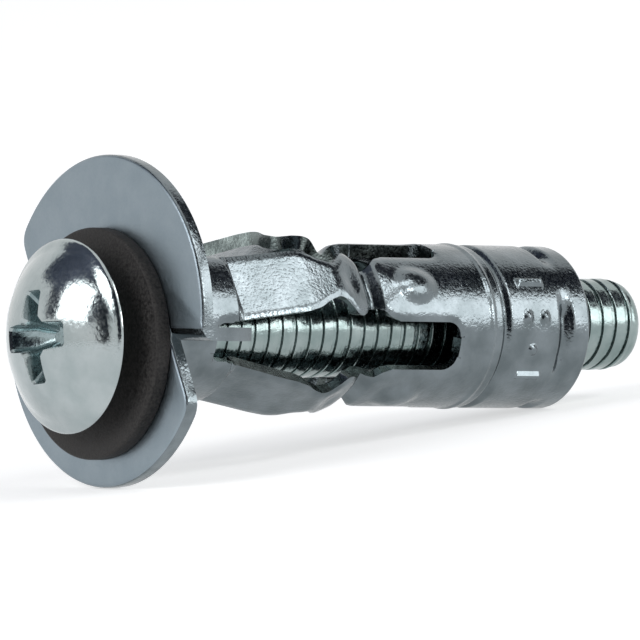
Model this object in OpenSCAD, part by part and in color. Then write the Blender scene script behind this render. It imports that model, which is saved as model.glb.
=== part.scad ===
// Hollow wall anchor for an M4 screw: a slotted sheet-steel sleeve with a toothed flange, a
// captive nut crimped into its collar, a pan-head machine screw and a loose rubber washer.
// It lies on its side, on the flange rim and the collar. Millimetres.

/* [Screw] */
// Major diameter of the thread
thread_d = 3.85; // [3.7:0.05:3.9]
// Length of the screw under its head
screw_len = 28.4; // [27:0.1:60]
// Diameter of the pan head
head_d = 7.9; // [6:0.1:9]
// Height of the pan head
head_h = 1.95; // [1.9:0.05:2.2]
// Radius of the head's dome
dome_r = 5; // [4.8:0.1:8]
// Width of one arm of the cross recess
recess_w = 0.95; // [0.6:0.05:1.4]
// Free gap between the head and the washer
head_gap = 1.05; // [0.2:0.05:4]
// Angle by which the loose screw droops in its nut
screw_lean = 1.7; // [0:0.1:1.7]

/* [Washer] */
// Outer diameter of the washer
washer_d = 9.4; // [8.5:0.1:11]
// Thickness of the washer
washer_t = 0.7; // [0.4:0.1:1.2]

/* [Sleeve] */
// Thickness of the sheet
sheet_t = 0.55; // [0.4:0.05:0.6]
// Outer diameter of the flange
flange_d = 13.5; // [12.5:0.1:18]
// Outer diameter of the neck behind the flange
neck_d = 6.4; // [6.3:0.05:6.6]
// Length of the sleeve from the flange's front to its rear end
sleeve_len = 22.6; // [22.4:0.1:26]
// Height of the knee of a leg above the axis
knee_h = 3.8; // [3.7:0.05:4.2]

/* [Nut] */
// Length of the nut
nut_len = 2.3; // [2:0.1:2.3]
// Wall of the nut round its thread; the collar is pressed round it
nut_wall = 0.835; // [0.8:0.005:1.1]

/* [Hidden] */
$fn = 96;
eps = 0.01;
thread_r = thread_d / 2;
head_r = head_d / 2;
flange_r = flange_d / 2;
neck_r = neck_d / 2;
run_gap = 0.09;                 // radial play of the screw in the nut
bore_r = thread_r + run_gap + nut_wall;
collar_r = bore_r + sheet_t;
far = 2 * flange_r;             // reach of a cutting shape

// Screw
head_back = -washer_t - head_gap;
recess_r = 1.9;                 // half length of an arm at the dome
recess_depth = 1.7;
recess_floor_r = 0.6;
recess_turn = 5;
tip_chamfer = 0.4;

// Washer
washer_hole_r = thread_r + 0.375;
washer_drop = 0.92;             // it hangs this far below the sleeve's axis

// Flange and its teeth. Across the axis, u points out to the near side and v points up
notch_in = 4.57;                // where the notch starts
fold_v = -0.07;                 // line where the tooth's bend starts
bend_in = 0.1;
bend_out = bend_in + sheet_t;
bend_loss = 0.15;
tooth_top = fold_v - bend_in;
tooth_low = tooth_top - sheet_t;
corner_angle = -29.3;           // where the notch's straight side meets the rim
notch_apex = [notch_in, tooth_low];
notch_corner = flange_r * [cos(corner_angle), sin(corner_angle)];
neck_fillet = 0.35;

// Legs, measured back from the flange's front
legs = 4;
slot_turn = -15;                // a slot sits this far below the level plane
slot_x = 3.45;                  // front end of the slots
slot_half = 0.87;
slot_round = 0.4;
crease_x = 4.6;
neck_end = crease_x + 0.13;      // the neck's wall runs just past the crease
knee_x = 9.3;
valley_x = 11.4;
rear_x = 12.1;                  // front end of the round rear segment
collar_x = 15.8;                // rear end of the slots
rear_half = 1.08;
rear_round = 0.6;
valley_h = 2.95;

// Outer face of a leg down its middle: place along the sleeve, height above the axis
leg_line = [
    [crease_x - 0.5, neck_r - 0.15], [crease_x, neck_r - 0.25],
    [crease_x + 1.4, knee_h - 0.6], [knee_x - 2.3, knee_h - 0.36], [knee_x - 1.3, knee_h - 0.15],
    [knee_x, knee_h], [knee_x + 0.7, knee_h - 0.04], [valley_x - 0.5, valley_h + 0.45],
    [valley_x, valley_h], [rear_x + 0.1, bore_r + 0.27], [rear_x + 0.6, bore_r + 0.25]];

// Half width of a leg along the sleeve, with notches at the ends of the knee and the valley
leg_edge = [
    [crease_x - 0.3, 1.55], [crease_x + 0.4, 1.45], [knee_x - 1.6, 1.4], [knee_x - 1, 1.25],
    [knee_x - 0.5, 0.95], [knee_x, 0.78], [knee_x + 0.3, 0.82], [knee_x + 0.65, 1.15],
    [knee_x + 1, 1.5], [knee_x + 1.3, 1.5], [valley_x - 0.4, 1.15], [valley_x - 0.1, 0.9],
    [valley_x + 0.2, 0.88], [valley_x + 0.5, 1.1], [rear_x + 0.1, 1.38], [rear_x + 0.5, 1.45]];

// Boss on the rear segment of a leg
boss_in = 2.15;                 // from its middle to the rear end of the slots
boss_x = collar_x - boss_in;
boss_len = 2.5;
boss_w = 1.9;
boss_h = 0.18;

// Collar, measured from the sleeve's rear end
groove_in = 4.4;
ridge_in = 5.15;
dent_in = 1.25;
groove_x = sleeve_len - groove_in;  // groove in front of the nut
ridge_x = sleeve_len - ridge_in;    // low ridge in front of the groove
dent_x = sleeve_len - dent_in;      // middle of the crimp dents
ring_half = 0.35;               // half width of the groove and the ridge
groove_depth = 0.22;
ridge_h = 0.05;
dent_r = 0.8;
dent_depth = 0.3;
dent_angle = 62;
dent_turn = -7;
rim_round = 0.15;

// Nut, held between the groove and the dents
nut_gap = 0.3;                  // from the middle of the groove to the nut
nut_x = groove_x + nut_gap;
nut_mid = nut_x + nut_len / 2;
nut_chamfer = 0.3;

// Resting pose: the flange's back rim and the collar's rear edge touch the ground
rest_tilt = atan((flange_r - collar_r) / (sleeve_len - rim_round - sheet_t));
rest_lift = flange_r * cos(rest_tilt) + sheet_t * sin(rest_tilt);
screw_tilt = rest_tilt - screw_lean;
pivot_x = nut_mid * cos(rest_tilt);
left_end = pivot_x - (nut_mid - head_back + head_h - dome_r) * cos(screw_tilt) - dome_r;
right_end = pivot_x + (head_back + screw_len - nut_mid) * cos(screw_tilt)
    + (thread_r - tip_chamfer) * sin(screw_tilt);
middle_x = (left_end + right_end) / 2;

// Lays what is drawn along x on the ground, with the origin under the middle
module rest() {
    translate([-middle_x, 0, rest_lift]) rotate([0, rest_tilt, 0]) children();
}

// Leans the screw about the middle of the nut, with x = 0 at the back of its head
module screw_place() {
    translate([nut_mid, 0, 0]) rotate([0, -screw_lean, 0])
        translate([head_back - nut_mid, 0, 0]) children();
}

module along_x() {
    rotate([0, 90, 0]) children();
}

// Turns what is drawn on the near side up round the axis
module turned_up(angle) {
    rotate([-angle, 0, 0]) children();
}

// Once for each leg or slot, the first one at the given angle
module each_leg(first) {
    for (k = [0 : legs - 1]) turned_up(first + k * 360 / legs) children();
}

module pipe(start, end, outer, inner) {
    translate([start, 0, 0]) along_x() difference() {
        cylinder(h = end - start, r = outer);
        translate([0, 0, -eps]) cylinder(h = end - start + 2 * eps, r = inner);
    }
}

// Plate across the axis from a sketch in u and v
module across(start, depth) {
    translate([start + depth, 0, 0]) rotate([90, 0, -90]) linear_extrude(depth) children();
}

// Block through the near wall from a sketch of place along x by height
module through_near() {
    rotate([90, 0, 0]) linear_extrude(far) children();
}

// ---- Sleeve ----

module notch_sketch() {
    polygon([[notch_in, fold_v], [far, fold_v], [far, -far],
        notch_apex + 4 * (notch_corner - notch_apex), notch_apex]);
}

// Flange and neck: one sheet turned through a right angle
module flange_neck() {
    mouth = bend_out + neck_fillet;
    difference() {
        along_x() rotate_extrude() difference() {
            union() {
                translate([neck_r - sheet_t, 0]) square([flange_r - neck_r + sheet_t, sheet_t]);
                translate([neck_r - sheet_t, 0]) square([sheet_t, neck_end]);
                translate([neck_r, sheet_t]) difference() {
                    square(neck_fillet);
                    translate([neck_fillet, neck_fillet]) circle(neck_fillet);
                }
            }
            difference() {
                translate([neck_r - sheet_t - eps, -eps]) square(mouth - sheet_t);
                translate([neck_r + neck_fillet, sheet_t + neck_fillet])
                    circle(sheet_t + neck_fillet);
            }
        }
        for (side = [0, 180]) turned_up(side) across(-eps, sheet_t + 2 * eps) notch_sketch();
        each_leg(slot_turn) through_near() translate([slot_x, 0]) {
            translate([slot_round, -slot_half]) square([far, 2 * slot_half]);
            translate([0, slot_round - slot_half]) square([far, 2 * (slot_half - slot_round)]);
            for (side = [-1, 1])
                translate([slot_round, side * (slot_half - slot_round)]) circle(slot_round);
        }
    }
}

// Tooth: the notch's own flap, bent back square to the flange
module tooth() {
    intersection() {
        along_x() cylinder(h = far, r = flange_r);
        union() {
            intersection() {
                translate([-bend_loss, 0, tooth_top]) rotate([180, 0, -90])
                    linear_extrude(sheet_t) intersection() {
                        circle(flange_r);
                        notch_sketch();
                    }
                translate([bend_out - eps, -far, -far]) cube(2 * far);
            }
            translate([0, -notch_in, 0]) through_near() translate([bend_out, fold_v])
                difference() {
                    intersection() {
                        circle(bend_out);
                        translate([-far, -far]) square(far);
                    }
                    circle(bend_in);
                }
        }
    }
}

function step_along(line, i) =
    line[min(i + 1, len(line) - 1)] - line[max(i - 1, 0)];
function inner_face(line, t) =
    [for (i = [0 : len(line) - 1]) let (d = step_along(line, i))
        line[i] + t * [d.y, -d.x] / norm(d)];
function backwards(line) = [for (i = [len(line) - 1 : -1 : 0]) line[i]];
function mirrored(line) = [for (p = line) [p.x, -p.y]];

// Folded part of a leg: its side view cut to its outline
module leg_fold() {
    intersection() {
        translate([0, 0, flange_r]) rotate([180, 0, 0]) linear_extrude(far)
            polygon(concat(leg_line, backwards(inner_face(leg_line, sheet_t))));
        through_near() polygon(concat(leg_edge, backwards(mirrored(leg_edge))));
    }
}

// Rear part: leg segments, ridge, groove and collar as one turned wall
module rear_wall() {
    along_x() rotate_extrude() rotate(90) mirror([0, 1]) polygon([
        [rear_x, collar_r], [ridge_x - ring_half, collar_r], [ridge_x, collar_r + ridge_h],
        [groove_x - ring_half, collar_r], [groove_x, collar_r - groove_depth],
        [groove_x + ring_half, collar_r], [sleeve_len - rim_round, collar_r],
        [sleeve_len, collar_r - rim_round], [sleeve_len, bore_r],
        [nut_x, bore_r], [groove_x, bore_r - groove_depth],
        [groove_x - ring_half, bore_r], [rear_x, bore_r]]);
}

module rear_slots() {
    each_leg(slot_turn) through_near() translate([collar_x, 0]) {
        translate([-far - rear_round, -rear_half]) square([far, 2 * rear_half]);
        translate([-far, rear_round - rear_half]) square([far, 2 * (rear_half - rear_round)]);
        for (side = [-1, 1])
            translate([-rear_round, side * (rear_half - rear_round)]) circle(rear_round);
    }
}

module boss_sketch() {
    translate([boss_x, 0]) {
        square([boss_len - boss_w, boss_w], center = true);
        for (end = [-1, 1]) translate([end * (boss_len - boss_w) / 2, 0]) circle(boss_w / 2);
    }
}

// Part of a ring round the axis, centred on the near side
module arc_ring(angle) {
    turned_up(90) along_x() rotate([0, 0, -angle / 2]) rotate_extrude(angle = angle)
        children();
}

module dents(reach) {
    each_leg(dent_turn) translate([dent_x, 0, 0]) arc_ring(dent_angle)
        translate([collar_r + dent_r - dent_depth, 0]) circle(dent_r + reach);
}

module sleeve() {
    color("silver") rest() {
        flange_neck();
        for (side = [0, 180]) turned_up(side) tooth();
        each_leg(slot_turn + 180 / legs) {
            leg_fold();
            intersection() {
                pipe(rear_x, collar_x, collar_r + boss_h, collar_r - eps);
                through_near() boss_sketch();
            }
        }
        difference() {
            union() {
                rear_wall();
                intersection() {
                    pipe(nut_x, sleeve_len, collar_r - eps, bore_r - dent_depth);
                    dents(sheet_t);
                }
            }
            rear_slots();
            dents(0);
        }
    }
}

// ---- Nut ----

module nut() {
    color("gray") rest() translate([nut_x, 0, 0]) along_x() difference() {
        union() {
            cylinder(h = nut_len - nut_chamfer, r = bore_r);
            translate([0, 0, nut_len - nut_chamfer])
                cylinder(h = nut_chamfer, r1 = bore_r, r2 = bore_r - nut_chamfer);
        }
        translate([0, 0, -eps]) cylinder(h = nut_len + 2 * eps, r = thread_r + run_gap);
    }
}

// ---- Washer ----

module washer() {
    color("black") rest() translate([0, 0, -washer_drop])
        pipe(-washer_t, 0, washer_d / 2, washer_hole_r);
}

// ---- Screw ----

// Tapered cross recess, cut from the top of the dome
module recess() {
    intersection() {
        turned_up(recess_turn) for (quarter = [0, 90]) rotate([quarter, 0, 0])
            translate([-head_h - eps, -far / 2, -recess_w / 2])
                cube([recess_depth, far, recess_w]);
        translate([-head_h - eps, 0, 0]) along_x()
            cylinder(h = recess_depth + eps, r1 = recess_r + 0.2, r2 = recess_floor_r);
    }
}

module screw() {
    color("lightgray") rest() screw_place() difference() {
        union() {
            intersection() {
                translate([dome_r - head_h, 0, 0]) sphere(dome_r);
                translate([-head_h, 0, 0]) along_x() cylinder(h = head_h, r = head_r);
            }
            translate([-eps, 0, 0]) along_x()
                cylinder(h = screw_len - tip_chamfer + eps, r = thread_r);
            translate([screw_len - tip_chamfer, 0, 0]) along_x()
                cylinder(h = tip_chamfer, r1 = thread_r, r2 = thread_r - tip_chamfer);
        }
        recess();
    }
}

sleeve();
nut();
washer();
screw();
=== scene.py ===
from math import asin, atan, atan2, cos, degrees, pi, radians, sin, sqrt

import bmesh
import bpy
import numpy as np
from mathutils import Matrix, Vector


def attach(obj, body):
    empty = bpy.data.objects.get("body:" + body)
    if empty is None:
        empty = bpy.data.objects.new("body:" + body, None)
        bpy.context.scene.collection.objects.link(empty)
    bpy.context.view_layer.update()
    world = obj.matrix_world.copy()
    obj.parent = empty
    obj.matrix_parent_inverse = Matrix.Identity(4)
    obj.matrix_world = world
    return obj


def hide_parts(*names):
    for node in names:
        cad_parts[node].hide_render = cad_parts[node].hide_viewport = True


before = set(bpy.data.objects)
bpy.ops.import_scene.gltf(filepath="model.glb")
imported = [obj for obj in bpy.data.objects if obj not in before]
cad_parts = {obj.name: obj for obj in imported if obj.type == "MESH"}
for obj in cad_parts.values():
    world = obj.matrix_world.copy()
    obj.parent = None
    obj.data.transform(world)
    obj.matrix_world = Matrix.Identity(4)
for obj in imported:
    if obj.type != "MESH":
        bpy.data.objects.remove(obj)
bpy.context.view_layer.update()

# ---- Sleeve ----
# One piece of zinc-plated sheet steel. The flange is turned out at the neck and cut into two
# lobes, each with a tooth bent back; the tube behind it is slotted into four legs that fold at
# a crease, a knee and a valley, and its collar is pressed and crimped round the nut.

# Millimetres along the sleeve's own axis, x from the flange's front face to the screw's tip.
# An angle round the axis is 0 on the near side and grows upwards; u is out to the near side
# and v is up.
MM = 0.001
SHEET = 0.55
FLANGE_R = 6.75
NECK_R = 3.2
NECK_FILLET = 0.35
COLLAR_R = 3.4
SLEEVE_LEN = 22.6
RIM_ROUND = 0.15

# The sleeve lies on its flange rim and its collar, and the screw leans a little in the nut.
# The origin is under the middle of the whole length.
THREAD_R = 1.925
HEAD_H = 1.95
DOME_R = 5.0
SCREW_LEN = 28.4
TIP_CHAMFER = 0.4
NUT_MID = 19.65
HEAD_BACK = -1.75
TILT = atan((FLANGE_R - COLLAR_R) / (SLEEVE_LEN - RIM_ROUND - SHEET))
LEAN = radians(1.7)
AXIS_HEIGHT = FLANGE_R * cos(TILT) + SHEET * sin(TILT)
left_end = (NUT_MID * cos(TILT) - DOME_R
            - (NUT_MID - HEAD_BACK + HEAD_H - DOME_R) * cos(TILT - LEAN))
right_end = (NUT_MID * cos(TILT) + (HEAD_BACK + SCREW_LEN - NUT_MID) * cos(TILT - LEAN)
             + (THREAD_R - TIP_CHAMFER) * sin(TILT - LEAN))
SLEEVE_PLACE = (Matrix.Scale(MM, 4)
                @ Matrix.Translation((-(left_end + right_end) / 2, 0, AXIS_HEIGHT))
                @ Matrix.Rotation(TILT, 4, "Y"))
TO_AXIS = SLEEVE_PLACE.inverted()

# Points closer than this are one point, and an edge bent by more than this shades sharp
MERGED = 1e-4
SHARP_ANGLE = radians(35)


def around(x, radius, angle):
    """Point at a place along the axis, a radius, and an angle in degrees round it."""
    a = radians(angle)
    return (x, -radius * cos(a), radius * sin(a))


def placed_object(name, verts, faces, place):
    """Object at the origin whose mesh is drawn in millimetres and then set in place."""
    mesh = bpy.data.meshes.new(name)
    mesh.from_pydata([tuple(v) for v in verts], [], faces)
    mesh.transform(place)
    obj = bpy.data.objects.new(name, mesh)
    bpy.context.collection.objects.link(obj)
    return obj


def clean_mesh(obj):
    """Merges doubled points, drops loose ones and turns the faces outward."""
    bm = bmesh.new()
    bm.from_mesh(obj.data)
    bmesh.ops.remove_doubles(bm, verts=bm.verts, dist=MERGED * MM)
    bmesh.ops.dissolve_degenerate(bm, edges=bm.edges, dist=MERGED * MM)
    loose = [v for v in bm.verts if not v.link_faces]
    bmesh.ops.delete(bm, geom=loose, context="VERTS")
    bmesh.ops.recalc_face_normals(bm, faces=bm.faces)
    bm.to_mesh(obj.data)
    bm.free()


def settle(obj):
    """Applies the modifiers and shades smooth but for the sharp edges."""
    graph = bpy.context.evaluated_depsgraph_get()
    mesh = bpy.data.meshes.new_from_object(obj.evaluated_get(graph))
    obj.modifiers.clear()
    obj.data = mesh
    mesh.shade_smooth()
    mesh.set_sharp_from_angle(angle=SHARP_ANGLE)


FRONT_ROUND = 0.16


def round_front_edges(obj):
    """Rounds the edges of the sleeve's front face, which bend by more than 50 degrees."""
    bm = bmesh.new()
    bm.from_mesh(obj.data)
    sharp = [e for e in bm.edges if e.calc_face_angle(0) > radians(50)
             and all((TO_AXIS @ v.co).x < 0.01 for v in e.verts)]
    bmesh.ops.bevel(bm, geom=sharp, offset=FRONT_ROUND * MM, segments=4, profile=0.5,
                    affect="EDGES", clamp_overlap=False, loop_slide=True)
    bmesh.ops.dissolve_degenerate(bm, edges=bm.edges, dist=1e-3 * MM)
    bm.to_mesh(obj.data)
    bm.free()
    obj.data.shade_smooth()
    obj.data.set_sharp_from_angle(angle=SHARP_ANGLE)


class Finish:
    """A procedural material on the object's own coordinates."""

    def __init__(self, name, metallic=1.0):
        self.material = bpy.data.materials.new(name)
        self.material.use_nodes = True
        self.tree = self.material.node_tree
        self.shader = self.tree.nodes["Principled BSDF"]
        self.shader.inputs["Metallic"].default_value = metallic
        self.coords = self.tree.nodes.new("ShaderNodeTexCoord").outputs["Object"]

    def node(self, kind, **inputs):
        made = self.tree.nodes.new(kind)
        for name, value in inputs.items():
            socket = made.inputs[name.replace("_", " ")]
            if isinstance(value, bpy.types.NodeSocket):
                self.tree.links.new(value, socket)
            else:
                socket.default_value = value
        return made

    def noise(self, per_mm, detail=3.0, distortion=0.0):
        return self.node("ShaderNodeTexNoise", Vector=self.coords, Scale=per_mm / MM,
                         Detail=detail, Distortion=distortion).outputs["Fac"]

    def spread(self, source, low, high, to_low, to_high):
        made = self.node("ShaderNodeMapRange", Value=source, From_Min=low, From_Max=high,
                         To_Min=to_low, To_Max=to_high)
        return made.outputs["Result"]

    def colour_between(self, source, dark, pale):
        ramp = self.node("ShaderNodeValToRGB", Fac=source)
        ramp.color_ramp.elements[0].position = 0.35
        ramp.color_ramp.elements[0].color = (*dark, 1.0)
        ramp.color_ramp.elements[1].position = 0.65
        ramp.color_ramp.elements[1].color = (*pale, 1.0)
        self.tree.links.new(ramp.outputs["Color"], self.shader.inputs["Base Color"])

    def rough_between(self, source, low, high):
        self.tree.links.new(self.spread(source, 0.35, 0.65, low, high),
                            self.shader.inputs["Roughness"])

    def bumps(self, *layers):
        """Each layer is a height texture and its depth in millimetres."""
        normal = None
        for height, depth in layers:
            made = self.node("ShaderNodeBump", Height=height, Distance=depth * MM)
            if normal is not None:
                self.tree.links.new(normal, made.inputs["Normal"])
            normal = made.outputs["Normal"]
        self.tree.links.new(normal, self.shader.inputs["Normal"])


def zinc_plate(name, dark, pale, rough, grain, grain_depth, wave_depth):
    """Bright zinc plating with cloudy tint, uneven gloss, fine grain and slow waves."""
    finish = Finish(name)
    grains = finish.noise(grain, detail=2)
    finish.colour_between(finish.noise(0.9, detail=4), dark, pale)
    finish.rough_between(grains, *rough)
    finish.bumps((finish.noise(0.7, detail=1), wave_depth), (grains, grain_depth))
    return finish.material


# The sheet's plating is darkened as painted shade for the dark reflections under the sleeve, and the
# flange's front gets a lighter copy of the same plating
leg_zinc_painted_shade = zinc_plate("leg_zinc_painted_shade", (0.135, 0.16, 0.17), (0.195, 0.225, 0.24), (0.12, 0.24),
                      8, 0.014, 0.015)
edge_zinc = zinc_plate("edge_zinc", (0.04, 0.05, 0.05), (0.17, 0.20, 0.195), (0.2, 0.4),
                       9, 0.02, 0.02)
lit_flange_zinc = zinc_plate("lit_flange_zinc", (0.235, 0.285, 0.32), (0.26, 0.31, 0.345), (0.34, 0.42),
                         9, 0.004, 0.01)

LEGS = 4
SLOT_TURN = -15
SLOT_X = 3.45
SLOT_HALF = 0.87
SLOT_ROUND = 0.4
CREASE_X = 4.6
KNEE_X = 9.3
KNEE_H = 3.8
VALLEY_X = 11.4
VALLEY_H = 2.95
REAR_X = 12.1
COLLAR_X = 15.8
REAR_HALF = 1.08
REAR_ROUND = 0.6

# Outer face down the middle of a leg, and the half width across it
LEG_LINE = np.array([
    (SLOT_X, NECK_R), (CREASE_X - 0.05, NECK_R), (CREASE_X + 0.1, NECK_R - 0.33),
    (CREASE_X + 1.4, KNEE_H - 0.6), (KNEE_X - 2.3, KNEE_H - 0.34), (KNEE_X - 1.3, KNEE_H - 0.14),
    (KNEE_X, KNEE_H), (KNEE_X + 0.7, KNEE_H - 0.07), (VALLEY_X - 0.45, VALLEY_H + 0.45),
    (VALLEY_X, VALLEY_H), (VALLEY_X + 0.12, VALLEY_H), (REAR_X - 0.2, COLLAR_R - 0.07),
    (REAR_X + 0.3, COLLAR_R), (COLLAR_X, COLLAR_R)])
LEG_EDGE = np.array([
    (CREASE_X - 0.3, 1.5), (CREASE_X + 0.4, 1.45), (KNEE_X - 1.6, 1.4), (KNEE_X - 1, 1.25),
    (KNEE_X - 0.5, 0.95), (KNEE_X, 0.78), (KNEE_X + 0.3, 0.82), (KNEE_X + 0.65, 1.15),
    (KNEE_X + 1, 1.45), (KNEE_X + 1.3, 1.45), (VALLEY_X - 0.4, 1.15), (VALLEY_X - 0.1, 0.9),
    (VALLEY_X + 0.2, 0.88), (VALLEY_X + 0.5, 1.1), (REAR_X + 0.1, 1.38), (REAR_X + 0.5, 1.48)])
# Reach over which the corners of those two lines are rounded
LINE_SOFT = 0.08
EDGE_SOFT = 0.12

# How flat a leg is pressed across its width, from 0 for the round wall to 1
FLATNESS = ([CREASE_X - 0.05, CREASE_X + 0.1, KNEE_X - 0.1, KNEE_X + 0.6, VALLEY_X, REAR_X + 0.4],
            [0.0, 1.0, 1.0, 0.4, 0.5, 0.0])

# The blanking rolls the sheet over at the legs' edges
EDGE_DROP = 0.08
EDGE_REACH = 0.36


def softened(line, x, reach):
    """Height of a bent line at x, with its corners rounded over the given reach."""
    return float(np.mean(np.interp(x + np.linspace(-reach, reach, 9), line[:, 0], line[:, 1])))


def leg_half(x):
    """Half width of a leg at x, from the slots where the wall is round."""
    if x < CREASE_X - 0.3:
        inset = max(SLOT_ROUND - (x - SLOT_X), 0.0)
        gap = SLOT_HALF - SLOT_ROUND + sqrt(max(SLOT_ROUND ** 2 - inset ** 2, 0.0))
        return NECK_R * sin(pi / LEGS - asin(gap / NECK_R))
    if x > REAR_X + 0.5:
        inset = min(max(REAR_ROUND - (COLLAR_X - x), 0.0), REAR_ROUND)
        gap = REAR_HALF - REAR_ROUND + sqrt(REAR_ROUND ** 2 - inset ** 2)
        return COLLAR_R * sin(pi / LEGS - asin(gap / COLLAR_R))
    return softened(LEG_EDGE, x, EDGE_SOFT)


# Pressed forms: the middle of each along the axis, its height or depth, and its half widths
RIDGE_X = SLEEVE_LEN - 5.15
RIDGE_HEIGHT = 0.06
RIDGE_HALF = 0.2
GROOVE_X = SLEEVE_LEN - 4.4
GROOVE_DEPTH = 0.2
GROOVE_HALF = 0.28
DENT_X = SLEEVE_LEN - 1.25
DENT_DEPTH = 0.36
DENT_HALF = 0.46
DENT_HALF_ANGLE = 38
DENT_TURN = -7
BOSS_X = COLLAR_X - 2.15
BOSS_HEIGHT = 0.26
BOSS_HALF_LEN = 1.27
BOSS_HALF_W = 0.98
DIMPLE_X = KNEE_X + 0.85
DIMPLE_DEPTH = 0.13
DIMPLE_HALF_LEN = 0.65
DIMPLE_HALF_W = 0.95
MARK_HEIGHT = 0.15
# Cutting a bell's top off at 1 after this factor gives a dent or a mark its flat middle
FLAT_TOP = 1.7
# Plain raised marks on the collar: middle, angle, half length along the axis, half width
MARKS = [(19.7, 34, 0.55, 0.2), (19.3, 7, 0.0, 0.3), (20.2, 7, 0.0, 0.3), (19.6, -16, 0.0, 0.3),
         (19.7, -36, 0.55, 0.2)]


def bell(distance, half):
    """1 in the middle, falling smoothly to 0 at the half width."""
    return 0.5 + 0.5 * cos(pi * min(abs(distance) / half, 1.0))


def turn_between(a, b):
    """Shortest turn in degrees from b to a."""
    return (a - b + 180) % 360 - 180


def leg_middle(leg):
    """Angle of a leg's middle."""
    return SLOT_TURN + 180 / LEGS + 360 / LEGS * leg


def relief(x, angle):
    """Height of what is pressed out of the round wall, or below 0 into it."""
    height = RIDGE_HEIGHT * bell(x - RIDGE_X, RIDGE_HALF)
    height -= GROOVE_DEPTH * bell(x - GROOVE_X, GROOVE_HALF)
    for leg in range(LEGS):
        dent = turn_between(angle, DENT_TURN + 360 / LEGS * leg)
        height -= (DENT_DEPTH * bell(x - DENT_X, DENT_HALF)
                   * min(1.0, FLAT_TOP * bell(dent, DENT_HALF_ANGLE)))
        across = radians(turn_between(angle, leg_middle(leg))) * COLLAR_R
        boss = sqrt((across / BOSS_HALF_W) ** 2 + ((x - BOSS_X) / BOSS_HALF_LEN) ** 2)
        height += BOSS_HEIGHT * bell(boss ** 1.5, 1.0)
        dimple = sqrt((across / DIMPLE_HALF_W) ** 2 + ((x - DIMPLE_X) / DIMPLE_HALF_LEN) ** 2)
        height -= DIMPLE_DEPTH * bell(dimple, 1.0)
    for middle, turn, half_length, half_width in MARKS:
        along = max(abs(x - middle) - half_length, 0.0)
        out = sqrt(along ** 2 + (radians(turn_between(angle, turn)) * COLLAR_R) ** 2)
        height += MARK_HEIGHT * min(1.0, FLAT_TOP * bell(out, half_width))
    return height


LEG_COLUMNS = 32
SLOT_COLUMNS = 18
COLUMNS = LEGS * (LEG_COLUMNS + SLOT_COLUMNS)


def wall_point(x, radius, column):
    """Outer face of the wall; a radius of None takes the wall's own shape at x."""
    leg, step = divmod(column, LEG_COLUMNS + SLOT_COLUMNS)
    middle = leg_middle(leg)
    wall_r = NECK_R if x < CREASE_X else COLLAR_R
    half = leg_half(min(max(x, SLOT_X), COLLAR_X))
    half_turn = degrees(asin(half / wall_r))
    if step > LEG_COLUMNS:
        part = (step - LEG_COLUMNS) / SLOT_COLUMNS
        angle = middle + half_turn + part * (360 / LEGS - 2 * half_turn)
    else:
        part = 2 * step / LEG_COLUMNS - 1
        angle = middle + half_turn * part
        if SLOT_X <= x <= COLLAR_X and radius is None:
            flat = np.interp(x, *FLATNESS)
            across = half * part
            height = softened(LEG_LINE, x, LINE_SOFT)
            height -= (1 - flat) * (wall_r - sqrt(wall_r ** 2 - across ** 2))
            height -= EDGE_DROP * max(1 - (half - abs(across)) / EDGE_REACH, 0.0) ** 2
            angle = middle + degrees(atan2(across, height))
            return around(x, sqrt(height ** 2 + across ** 2) + relief(x, angle), angle)
    if radius is None:
        radius = wall_r + relief(x, angle)
    return around(x, radius, angle)


# Rows of the wall: the bend at the flange, places along the axis, and the rear rim. They lie
# closer together where the sheet is bent or pressed.
rows = [(SHEET + NECK_FILLET * (1 - cos(a)), NECK_R + NECK_FILLET * (1 - sin(a)))
        for a in np.linspace(0, pi / 2, 7)]
places = np.concatenate([
    np.linspace(1.2, SLOT_X, 12), SLOT_X + SLOT_ROUND * np.array([0.04, 0.12, 0.25, 0.45, 0.7, 1]),
    np.arange(SLOT_X + 0.5, CREASE_X - 0.2, 0.1), np.arange(CREASE_X - 0.2, CREASE_X + 0.3, 0.04),
    np.arange(CREASE_X + 0.3, KNEE_X - 1, 0.15), np.arange(KNEE_X - 1, REAR_X + 0.8, 0.07),
    np.arange(REAR_X + 0.8, COLLAR_X - REAR_ROUND - 0.05, 0.09),
    COLLAR_X - REAR_ROUND * np.array([1, 0.7, 0.45, 0.25, 0.12, 0.04, 0]),
    np.arange(COLLAR_X + 0.15, RIDGE_X - 0.4, 0.15), np.arange(RIDGE_X - 0.4, DENT_X - 0.6, 0.06),
    np.arange(DENT_X - 0.6, SLEEVE_LEN - RIM_ROUND, 0.07)])
rows += [(x, None) for x in places]
rows += [(SLEEVE_LEN - RIM_ROUND * (1 - sin(a)), COLLAR_R - RIM_ROUND * (1 - cos(a)))
         for a in np.linspace(0, pi / 2, 5)]

verts = [wall_point(x, radius, c) for x, radius in rows for c in range(COLUMNS)]
faces = []
for row in range(len(rows) - 1):
    in_slots = SLOT_X < (rows[row][0] + rows[row + 1][0]) / 2 < COLLAR_X
    for c in range(COLUMNS):
        if in_slots and c % (LEG_COLUMNS + SLOT_COLUMNS) >= LEG_COLUMNS:
            continue
        here = row * COLUMNS + c
        beside = row * COLUMNS + (c + 1) % COLUMNS
        faces.append((here, here + COLUMNS, beside + COLUMNS, beside))

# Flange lobes with their teeth: the sheet's back face, whose bend passes into the tooth's top
NOTCH_IN = 4.57
FOLD_V = -0.07
BEND_IN = 0.1
TOOTH_TOP = FOLD_V - BEND_IN
TOOTH_LOW = TOOTH_TOP - SHEET
CORNER_ANGLE = -29.3
BEND_LOSS = 0.15
BEND_STEPS = 6
TOOTH_STEPS = 12
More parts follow.
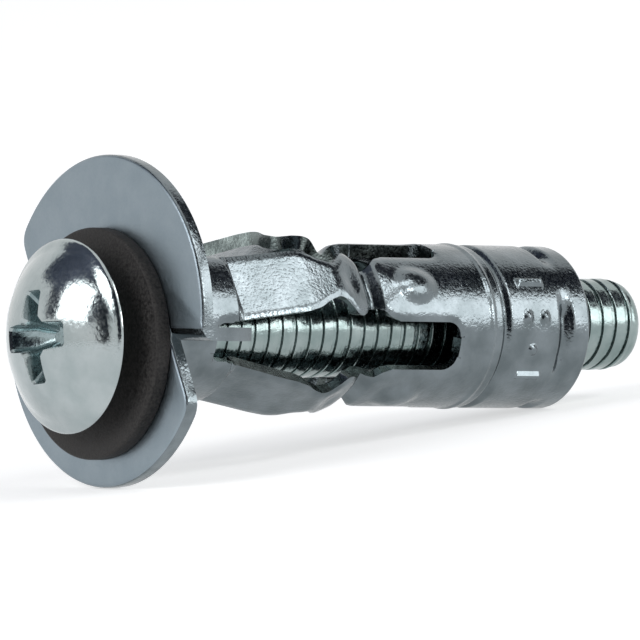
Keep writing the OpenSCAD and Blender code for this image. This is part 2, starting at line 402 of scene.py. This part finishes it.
# Angle of the neck's ring at which one lobe's face meets the other's
LOBE_SEAM = -9
corner_u = FLANGE_R * cos(radians(CORNER_ANGLE))
corner_v = FLANGE_R * sin(radians(CORNER_ANGLE))
fold_us = np.linspace(NOTCH_IN, sqrt(FLANGE_R ** 2 - FOLD_V ** 2), 25)

# Each lobe's corner is rounded from this far before it
CORNER_CUT = 0.55
last_angle = 180 + CORNER_ANGLE - degrees(CORNER_CUT / FLANGE_R)
rim_angles = np.linspace(degrees(asin(FOLD_V / FLANGE_R)), last_angle, 91)[1:]
corner = np.array((-corner_u, -corner_v))
notch_end = np.array((-NOTCH_IN, -TOOTH_LOW))
arc_start = FLANGE_R * np.array((cos(radians(last_angle)), sin(radians(last_angle))))
arc_end = corner + (notch_end - corner) * CORNER_CUT / np.linalg.norm(notch_end - corner)
corner_arc = [tuple(arc_start * (1 - t) ** 2 + corner * 2 * t * (1 - t) + arc_end * t ** 2)
              for t in np.linspace(0, 1, 9)[1:]]
ring_angles = [degrees(atan2(v[2], -v[1])) for v in verts[:COLUMNS]]
notch_column = int(np.argmin([abs(a - LOBE_SEAM) for a in ring_angles]))

for side in (1, -1):
    lobe = [(NOTCH_IN, TOOTH_LOW)] + [(u, FOLD_V) for u in fold_us]
    lobe += [(FLANGE_R * cos(radians(a)), FLANGE_R * sin(radians(a))) for a in rim_angles]
    lobe += corner_arc + [(-NOTCH_IN, -TOOTH_LOW)]
    first = len(verts)
    verts += [(SHEET, -side * u, side * v) for u, v in lobe]
    start = notch_column + (0 if side == 1 else COLUMNS // 2)
    ring = [(start + k) % COLUMNS for k in range(COLUMNS // 2 + 1)]
    faces.append(tuple(range(first, len(verts))) + tuple(reversed(ring)))
    above = [first + 1 + i for i in range(len(fold_us))]
    for step in range(1, 1 + BEND_STEPS + TOOTH_STEPS):
        below = []
        for u in fold_us:
            if step <= BEND_STEPS:
                a = pi / 2 * step / BEND_STEPS
                x = SHEET + BEND_IN * (1 - cos(a))
                v = FOLD_V - BEND_IN * sin(a)
            else:
                if u < corner_u:
                    low = TOOTH_LOW + (u - NOTCH_IN) * (corner_v - TOOTH_LOW) / (corner_u - NOTCH_IN)
                else:
                    low = -sqrt(FLANGE_R ** 2 - u ** 2)
                start_x = SHEET + BEND_IN
                reach = max(-low - BEND_LOSS - start_x, 0.0)
                x = start_x + reach * (step - BEND_STEPS) / TOOTH_STEPS
                v = TOOTH_TOP
            below.append(len(verts))
            verts.append((x, -side * u, side * v))
        for i in range(len(fold_us) - 1):
            faces.append((above[i], above[i + 1], below[i + 1], below[i]))
        above = below

sleeve = placed_object("sleeve_sheet", verts, faces, SLEEVE_PLACE)
clean_mesh(sleeve)
lowest = min(sleeve.data.polygons, key=lambda face: face.center.z)
if lowest.normal.z > 0:
    sleeve.data.flip_normals()
thickness = sleeve.modifiers.new("sheet", "SOLIDIFY")
thickness.thickness = SHEET * MM
thickness.offset = -1
thickness.use_even_offset = True
settle(sleeve)
round_front_edges(sleeve)

# The flange's front is dull and takes the lighter copy of the plating, while the rest of the sheet
# keeps the darker copy that is painted shade, and the cut edges of the legs, which face sideways, are
# dark
FRONT_DEPTH = 0.05
SIDEWAYS = 0.8
sleeve_finishes = [leg_zinc_painted_shade, lit_flange_zinc, edge_zinc]
for finish in sleeve_finishes:
    sleeve.data.materials.append(finish)
for face in sleeve.data.polygons:
    spot = TO_AXIS @ face.center
    facing = (TO_AXIS.to_3x3() @ face.normal).normalized()
    sideways = Vector((0, -spot.z, spot.y)).normalized().dot(facing)
    if spot.x < FRONT_DEPTH:
        face.material_index = sleeve_finishes.index(lit_flange_zinc)
    elif SLOT_X < spot.x < COLLAR_X and abs(sideways) > SIDEWAYS:
        face.material_index = sleeve_finishes.index(edge_zinc)
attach(sleeve, "sleeve_body")
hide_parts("sleeve")

# ---- Nut ----
# Steel nut pressed into the collar. Rings stand in for the thread in its bore, and the screw
# runs in it with a little play.

NUT_X = 18.5
NUT_LEN = 2.3
NUT_R = COLLAR_R - SHEET
NUT_CHAMFER = 0.3
NUT_RING_STEPS = 12
RUN_GAP = 0.09
RING_GAP = 0.25


def lathe(name, profile, place, columns=96):
    """Closed body turned round the axis from a profile of place and radius."""
    verts = [around(x, r, 360 * j / columns) for x, r in profile for j in range(columns)]
    faces = []
    for i in range(len(profile)):
        k = (i + 1) % len(profile)
        for j in range(columns):
            n = (j + 1) % columns
            faces.append((i * columns + j, i * columns + n, k * columns + n, k * columns + j))
    obj = placed_object(name, verts, faces, place)
    clean_mesh(obj)
    return obj


nut_profile = [(NUT_X, NUT_R), (NUT_X + NUT_LEN - NUT_CHAMFER, NUT_R),
               (NUT_X + NUT_LEN, NUT_R - NUT_CHAMFER)]
for k in range(NUT_RING_STEPS, -1, -1):
    bore = THREAD_R + (RUN_GAP if k % 2 == 0 else RING_GAP)
    nut_profile.append((NUT_X + NUT_LEN * k / NUT_RING_STEPS, bore))
nut = lathe("nut_body", nut_profile, SLEEVE_PLACE)
settle(nut)
# The nut takes the sleeve's darkened plating, with its painted shade
nut.data.materials.append(leg_zinc_painted_shade)
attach(nut, "sleeve_body")
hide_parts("nut")

# ---- Washer ----
# Loose washer of matt black rubber, cut from sheet, that hangs on the screw against the
# flange's front.

WASHER_R = 4.7
WASHER_T = 0.7
WASHER_HOLE_R = THREAD_R + 0.375
WASHER_DROP = 0.92

rubber = Finish("washer_rubber", metallic=0.0)
specks = rubber.noise(9, detail=4)
rubber.colour_between(specks, (0.006, 0.005, 0.005), (0.05, 0.047, 0.045))
rubber.rough_between(specks, 0.5, 0.8)
rubber.bumps((specks, 0.015))
rubber.shader.inputs["Specular IOR Level"].default_value = 0.35

soft = 0.12
washer_profile = []
for x, r, turn in ((-soft, WASHER_R - soft, 0), (-WASHER_T + soft, WASHER_R - soft, 90),
                   (-WASHER_T + soft, WASHER_HOLE_R + soft, 180), (-soft, WASHER_HOLE_R + soft, 270)):
    for step in range(5):
        a = radians(turn + 90 * step / 4)
        washer_profile.append((x + soft * cos(a), r + soft * sin(a)))
washer = lathe("washer_ring", washer_profile,
               SLEEVE_PLACE @ Matrix.Translation((0, 0, -WASHER_DROP)), columns=144)
settle(washer)
washer.data.materials.append(rubber.material)
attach(washer, "washer_body")
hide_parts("washer")

# ---- Screw ----
# Zinc-plated steel machine screw: a pan head with a cross recess pressed in, and a right-hand
# thread down to a chamfered tip. The thread has M4's pitch, but its groove is drawn much
# shallower than the standard's 0.43 mm.

HEAD_R = 3.95
PITCH = 0.7
THREAD_DEPTH = 0.08
CREST = 0.40
SCREW_PLACE = (SLEEVE_PLACE @ Matrix.Translation((NUT_MID, 0, 0)) @ Matrix.Rotation(-LEAN, 4, "Y")
               @ Matrix.Translation((HEAD_BACK - NUT_MID, 0, 0)))
# The head's copy of the plating is lighter than the thread's, as painted light for the brighter
# reflection on the head
lit_head_zinc = zinc_plate("lit_head_zinc", (0.34, 0.39, 0.395), (0.41, 0.455, 0.46), (0.10, 0.2),
                        7, 0.006, 0.02)
thread_zinc = zinc_plate("thread_zinc", (0.22, 0.28, 0.275), (0.31, 0.37, 0.365), (0.12, 0.26),
                         7, 0.01, 0.02)


def thread_tree(name):
    """Node tree that sweeps a thread's ridge up a helix and trims both of its ends."""
    tree = bpy.data.node_groups.new(name, "GeometryNodeTree")
    for label in ("Length", "Pitch", "Radius", "Depth", "Crest", "Chamfer"):
        tree.interface.new_socket(label, in_out="INPUT", socket_type="NodeSocketFloat")
    tree.interface.new_socket("Metal", in_out="INPUT", socket_type="NodeSocketMaterial")
    tree.interface.new_socket("Thread", in_out="OUTPUT", socket_type="NodeSocketGeometry")
    given = tree.nodes.new("NodeGroupInput").outputs

    def made(kind, links, **settings):
        node = tree.nodes.new(kind)
        for key, value in settings.items():
            setattr(node, key, value)
        for socket, value in links.items():
            if isinstance(value, bpy.types.NodeSocket):
                tree.links.new(value, node.inputs[socket])
            else:
                node.inputs[socket].default_value = value
        return node

    def maths(operation, *values):
        return made("ShaderNodeMath", dict(enumerate(values)), operation=operation).outputs[0]

    sunk = 0.03 * MM
    height = maths("ADD", given["Length"], maths("MULTIPLY", given["Pitch"], 2.0))
    middle = maths("SUBTRACT", given["Radius"], maths("MULTIPLY", given["Depth"], 0.5))
    helix = made("GeometryNodeCurveSpiral", {
        "Resolution": 72, "Rotations": maths("DIVIDE", height, given["Pitch"]),
        "Start Radius": middle, "End Radius": middle, "Height": height})
    upright = made("GeometryNodeSetCurveNormal", {"Curve": helix.outputs["Curve"]}, mode="Z_UP")
    ridge = made("GeometryNodeCurvePrimitiveQuadrilateral", {
        "Bottom Width": maths("SUBTRACT", given["Pitch"], 0.01 * MM), "Top Width": given["Crest"],
        "Height": maths("ADD", given["Depth"], sunk), "Offset": 0.0}, mode="TRAPEZOID")
    eased = made("GeometryNodeFilletCurve", {
        "Curve": ridge.outputs["Curve"], "Radius": 0.05 * MM, "Count": 3}, mode="POLY")
    turned = made("GeometryNodeTransform", {
        "Geometry": eased.outputs["Curve"], "Rotation": (0.0, 0.0, pi / 2)})
    swept = made("GeometryNodeCurveToMesh", {
        "Curve": upright.outputs["Curve"], "Profile Curve": turned.outputs["Geometry"],
        "Fill Caps": True})
    place = made("ShaderNodeSeparateXYZ", {0: made("GeometryNodeInputPosition", {}).outputs[0]})
    x, y, z = place.outputs
    z = maths("SUBTRACT", z, given["Pitch"])
    z = maths("MINIMUM", maths("MAXIMUM", z, 0.0), maths("SUBTRACT", given["Length"], 2e-6))
    radius = maths("SQRT", maths("ADD", maths("MULTIPLY", x, x), maths("MULTIPLY", y, y)))
    past = maths("MAXIMUM", 0.0, maths("SUBTRACT", z, maths(
        "SUBTRACT", given["Length"], maths("MULTIPLY", given["Chamfer"], 1.6))))
    limit = maths("SUBTRACT", given["Radius"], maths("DIVIDE", past, 1.6))
    scale = maths("DIVIDE", maths("MINIMUM", radius, limit), radius)
    target = made("ShaderNodeCombineXYZ", {
        0: maths("MULTIPLY", x, scale), 1: maths("MULTIPLY", y, scale), 2: z})
    trimmed = made("GeometryNodeSetPosition", {
        "Geometry": swept.outputs["Mesh"], "Position": target.outputs[0]})
    real = made("GeometryNodeRealizeInstances", {"Geometry": trimmed.outputs["Geometry"]})
    coated = made("GeometryNodeSetMaterial", {
        "Geometry": real.outputs["Geometry"], "Material": given["Metal"]})
    out = tree.nodes.new("NodeGroupOutput")
    tree.links.new(coated.outputs["Geometry"], out.inputs["Thread"])
    return tree


def grown(name, tree, **values):
    """Plain mesh object made by a node tree with the given inputs."""
    obj = placed_object(name, [], [], Matrix.Identity(4))
    modifier = obj.modifiers.new(name, "NODES")
    modifier.node_group = tree
    for item in tree.interface.items_tree:
        if item.in_out == "INPUT" and item.name in values:
            modifier[item.identifier] = values[item.name]
    graph = bpy.context.evaluated_depsgraph_get()
    mesh = bpy.data.meshes.new_from_object(obj.evaluated_get(graph))
    obj.modifiers.clear()
    obj.data = mesh
    return obj


thread = grown("screw_thread", thread_tree("rolled_thread"), Length=SCREW_LEN * MM,
               Pitch=PITCH * MM, Radius=THREAD_R * MM, Depth=THREAD_DEPTH * MM,
               Crest=CREST * MM, Chamfer=TIP_CHAMFER * MM, Metal=thread_zinc)
# The helix climbs its own Z from the back of the head; CREST_AT turns its crest into place
CREST_AT = 6.54
crest_turn = radians(90 + 360 * CREST_AT / PITCH)
thread.data.transform(SCREW_PLACE @ Matrix.Rotation(pi / 2, 4, "Y")
                      @ Matrix.Rotation(crest_turn, 4, "Z") @ Matrix.Scale(1 / MM, 4))

# The core's end is chamfered and eased: how far back from the tip, and how far below its wall
core_r = THREAD_R - THREAD_DEPTH
core_profile = [(-0.2, 0.02), (-0.2, core_r)]
for back, down in ((0.45, 0), (0.33, 0.02), (0.2, 0.07), (0.1, 0.14), (0.03, 0.22), (0, 0.3)):
    core_profile.append((SCREW_LEN - back, core_r - down))
core = lathe("screw_core", core_profile + [(SCREW_LEN, 0.02)], SCREW_PLACE)

# Head: a low dome with a soft edge, its recess cut by a tapered cross
dome = [(0.0, 0.02), (0.0, HEAD_R - 0.12), (-0.03, HEAD_R - 0.04), (-0.09, HEAD_R),
        (-0.15, HEAD_R - 0.01), (-0.22, HEAD_R - 0.06), (-0.29, HEAD_R - 0.14),
        (-0.36, HEAD_R - 0.24)]
edge_angle = asin((HEAD_R - 0.42) / DOME_R)
for a in np.linspace(edge_angle, 0.005, 40):
    dome.append((DOME_R - HEAD_H - DOME_R * cos(a), DOME_R * sin(a)))
head = lathe("screw_head", dome, SCREW_PLACE, columns=144)

RECESS_W = 1.2
RECESS_R = 2.08
RECESS_DEPTH = 1.7
RECESS_TURN = 5
RECESS_EDGE = 0.09
ARM_ROUND = 0.12


def cross_section(half_length, half_width, web):
    """Outline of the recess at one depth, with eased corners between its arms."""
    points = []
    for quarter in range(4):
        a = radians(90 * quarter + RECESS_TURN)
        shoulder = half_length - ARM_ROUND
        flat = half_width - ARM_ROUND
        arm = [(half_width + web, -half_width), (shoulder, -half_width), (half_length, -flat),
               (half_length, flat), (shoulder, half_width), (half_width + web, half_width)]
        points += [(p * cos(a) - q * sin(a), p * sin(a) + q * cos(a)) for p, q in arm]
    return points


# Levels of the cross: place along the axis, half length and half width of an arm, corner's web
levels = [(-HEAD_H - 0.2, RECESS_R + 0.12, RECESS_W / 2 + 0.04, 0.28),
          (-HEAD_H + 0.5, RECESS_R - 0.25, RECESS_W / 2 - 0.12, 0.2),
          (-HEAD_H + 1.2, 1.15, RECESS_W / 2 - 0.2, 0.1),
          (-HEAD_H + RECESS_DEPTH, 0.55, 0.2, 0.05)]
verts = []
for x, half_length, half_width, web in levels:
    verts += [(x, -p, q) for p, q in cross_section(half_length, half_width, web)]
ring = len(verts) // len(levels)
faces = [tuple(range(ring)), tuple(range(len(verts) - ring, len(verts)))[::-1]]
for level in range(len(levels) - 1):
    for k in range(ring):
        n = (k + 1) % ring
        faces.append((level * ring + k, (level + 1) * ring + k,
                      (level + 1) * ring + n, level * ring + n))
cutter = placed_object("recess_cutter", verts, faces, SCREW_PLACE)
clean_mesh(cutter)
cut = head.modifiers.new("recess", "BOOLEAN")
cut.operation = "DIFFERENCE"
cut.object = cutter
cut.solver = "EXACT"
soft_edges = head.modifiers.new("soft_edges", "BEVEL")
soft_edges.width = RECESS_EDGE * MM
soft_edges.segments = 3
soft_edges.limit_method = "ANGLE"
soft_edges.angle_limit = SHARP_ANGLE
settle(head)
settle(core)
bpy.data.objects.remove(cutter)
thread.data.shade_smooth()
thread.data.set_sharp_from_angle(angle=SHARP_ANGLE)
head.data.materials.append(lit_head_zinc)
core.data.materials.append(thread_zinc)
# The recess gets a darker, greener copy of the plating, whose darkness is painted shade in the hollow
recess_zinc_painted_shade = zinc_plate("recess_zinc_painted_shade", (0.17, 0.23, 0.24), (0.30, 0.37, 0.38), (0.15, 0.3),
                         6, 0.01, 0.02)
head.data.materials.append(recess_zinc_painted_shade)
dome_middle = Vector((DOME_R - HEAD_H, 0, 0))
to_screw = SCREW_PLACE.inverted()
# Faces inside the recess take the copy with the painted shade
for face in head.data.polygons:
    spot = to_screw @ face.center
    under_dome = (spot - dome_middle).length < DOME_R - RECESS_EDGE
    in_reach = Vector((spot.y, spot.z)).length < RECESS_R
    if under_dome and in_reach and spot.x < -0.1:
        face.material_index = 1
for piece in (head, core, thread):
    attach(piece, "screw_body")
    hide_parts("screw")

# ---- Studio ----
# White paper floor and backdrop, soft boxes that light the object, dark cards that its metal
# reflects, and the camera.


def seen_directly(tree):
    """1 for what the camera and metal see of the background, 0 for the light it gives."""
    path = tree.nodes.new("ShaderNodeLightPath")
    either = tree.nodes.new("ShaderNodeMath")
    either.operation = "MAXIMUM"
    glassy = tree.nodes.new("ShaderNodeMath")
    glassy.operation = "MAXIMUM"
    tree.links.new(path.outputs["Is Camera Ray"], either.inputs[0])
    tree.links.new(path.outputs["Is Glossy Ray"], either.inputs[1])
    tree.links.new(either.outputs[0], glassy.inputs[0])
    tree.links.new(path.outputs["Is Transmission Ray"], glassy.inputs[1])
    return glassy.outputs[0]


world = bpy.data.worlds.new("studio")
bpy.context.scene.world = world
world.use_nodes = True
room = world.node_tree
fill = room.nodes["Background"]
fill.inputs["Color"].default_value = (0.92, 0.96, 1.0, 1.0)
fill.inputs["Strength"].default_value = 0.35
backdrop = room.nodes.new("ShaderNodeBackground")
backdrop.inputs["Color"].default_value = (1.0, 1.0, 1.0, 1.0)
backdrop.inputs["Strength"].default_value = 1.0
mix = room.nodes.new("ShaderNodeMixShader")
room.links.new(seen_directly(room), mix.inputs[0])
room.links.new(fill.outputs[0], mix.inputs[1])
room.links.new(backdrop.outputs[0], mix.inputs[2])
room.links.new(mix.outputs[0], room.nodes["World Output"].inputs["Surface"])

# The floor glows a little for the camera and the metal, so that it is white but for shadows
FLOOR_GLOW = 0.57
FLOOR_HALF = 3000
paper = Finish("floor_paper", metallic=0.0)
paper.shader.inputs["Base Color"].default_value = (0.8, 0.8, 0.8, 1.0)
paper.shader.inputs["Roughness"].default_value = 0.95
paper.shader.inputs["Specular IOR Level"].default_value = 0.0
paper.shader.inputs["Emission Color"].default_value = (1.0, 1.0, 1.0, 1.0)
glow = paper.node("ShaderNodeMath")
glow.operation = "MULTIPLY"
glow.inputs[1].default_value = FLOOR_GLOW
paper.tree.links.new(seen_directly(paper.tree), glow.inputs[0])
paper.tree.links.new(glow.outputs[0], paper.shader.inputs["Emission Strength"])
floor_corners = [(FLOOR_HALF * x, FLOOR_HALF * y, 0) for x, y in ((-1, -1), (1, -1), (1, 1), (-1, 1))]
floor = placed_object("floor", floor_corners, [(0, 1, 2, 3)], Matrix.Scale(MM, 4))
floor.data.materials.append(paper.material)

# Camera at a low angle from the head's side, with a long lens
VIEW_ANGLE = 0.922
ROLL = 0.015
AIM = Vector((11.006, 0, 0.177))
EYE_DISTANCE = 370.73
LENS = 506.07
# Lamps and cards face the object's middle at this height in metres
AIM_HEIGHT = 0.006
view = Vector((cos(VIEW_ANGLE), sin(VIEW_ANGLE), 0))
level = Vector((sin(VIEW_ANGLE), -cos(VIEW_ANGLE), 0))
right = level * cos(ROLL) + Vector((0, 0, sin(ROLL)))
top = Vector((0, 0, cos(ROLL))) - level * sin(ROLL)
eye = AIM - view * EYE_DISTANCE
turned = Matrix.Rotation(TILT, 4, "Y") @ Matrix((right, top, -view)).transposed().to_4x4()
camera_data = bpy.data.cameras.new("camera")
camera_data.lens = LENS
camera_data.sensor_width = 36
camera_data.clip_start = 0.01
camera_data.clip_end = 20
camera = bpy.data.objects.new("camera", camera_data)
bpy.context.collection.objects.link(camera)
camera.matrix_world = Matrix.Translation(SLEEVE_PLACE @ eye) @ turned
bpy.context.scene.camera = camera


def aimed(direction, distance):
    """Placement that faces the object from a direction right, up and back to the camera."""
    way = (turned.to_3x3() @ Vector(direction)).normalized()
    face = way.to_track_quat("Z", "Y").to_matrix().to_4x4()
    return Matrix.Translation(way * distance + Vector((0, 0, AIM_HEIGHT))) @ face


def soft_box(name, direction, width, height, distance, radiance):
    """Rectangular area lamp whose face has the given brightness."""
    lamp = bpy.data.lights.new(name, "AREA")
    lamp.shape = "RECTANGLE"
    lamp.size = width
    lamp.size_y = height
    lamp.energy = radiance * pi * width * height
    obj = bpy.data.objects.new(name, lamp)
    bpy.context.collection.objects.link(obj)
    obj.matrix_world = aimed(direction, distance)


def dark_card(name, direction, width, height, distance, tone=1.0):
    """Dark card that the metal reflects and the camera does not see."""
    finish = Finish(name, metallic=0.0)
    finish.shader.inputs["Base Color"].default_value = (0.05 * tone, 0.055 * tone, 0.075 * tone, 1)
    finish.shader.inputs["Roughness"].default_value = 0.9
    finish.shader.inputs["Specular IOR Level"].default_value = 0.0
    w = width / 2 / MM
    h = height / 2 / MM
    card = placed_object(name, [(-w, -h, 0), (w, -h, 0), (w, h, 0), (-w, h, 0)],
                         [(0, 1, 2, 3)], aimed(direction, distance) @ Matrix.Scale(MM, 4))
    card.data.materials.append(finish.material)
    card.visible_camera = False


soft_box("left_box", (-0.73, 0.46, 0.5), 0.85, 0.85, 1.5, 4.2)
soft_box("right_box", (0.91, 0.28, 0.2), 0.75, 0.85, 1.5, 2.7)
soft_box("top_box", (0.56, 0.74, 0.36), 0.8, 0.4, 1.5, 3.6)
soft_box("edge_box", (0.744, 0.32, 0.59), 0.35, 0.35, 1.5, 8.0)
dark_card("front_card", (-0.16, 0.33, 0.93), 1.3, 2.0, 1.75)
dark_card("left_card", (-0.66, 0.57, 0.4), 1.7, 1.5, 1.62, 2.0)
dark_card("head_card", (-0.6, 0.79, 0.03), 1.5, 1.2, 1.5, 3.5)
dark_card("collar_card", (0.6, 0.78, -0.15), 1.0, 1.0, 1.6)

scene = bpy.context.scene
scene.view_settings.view_transform = "Standard"
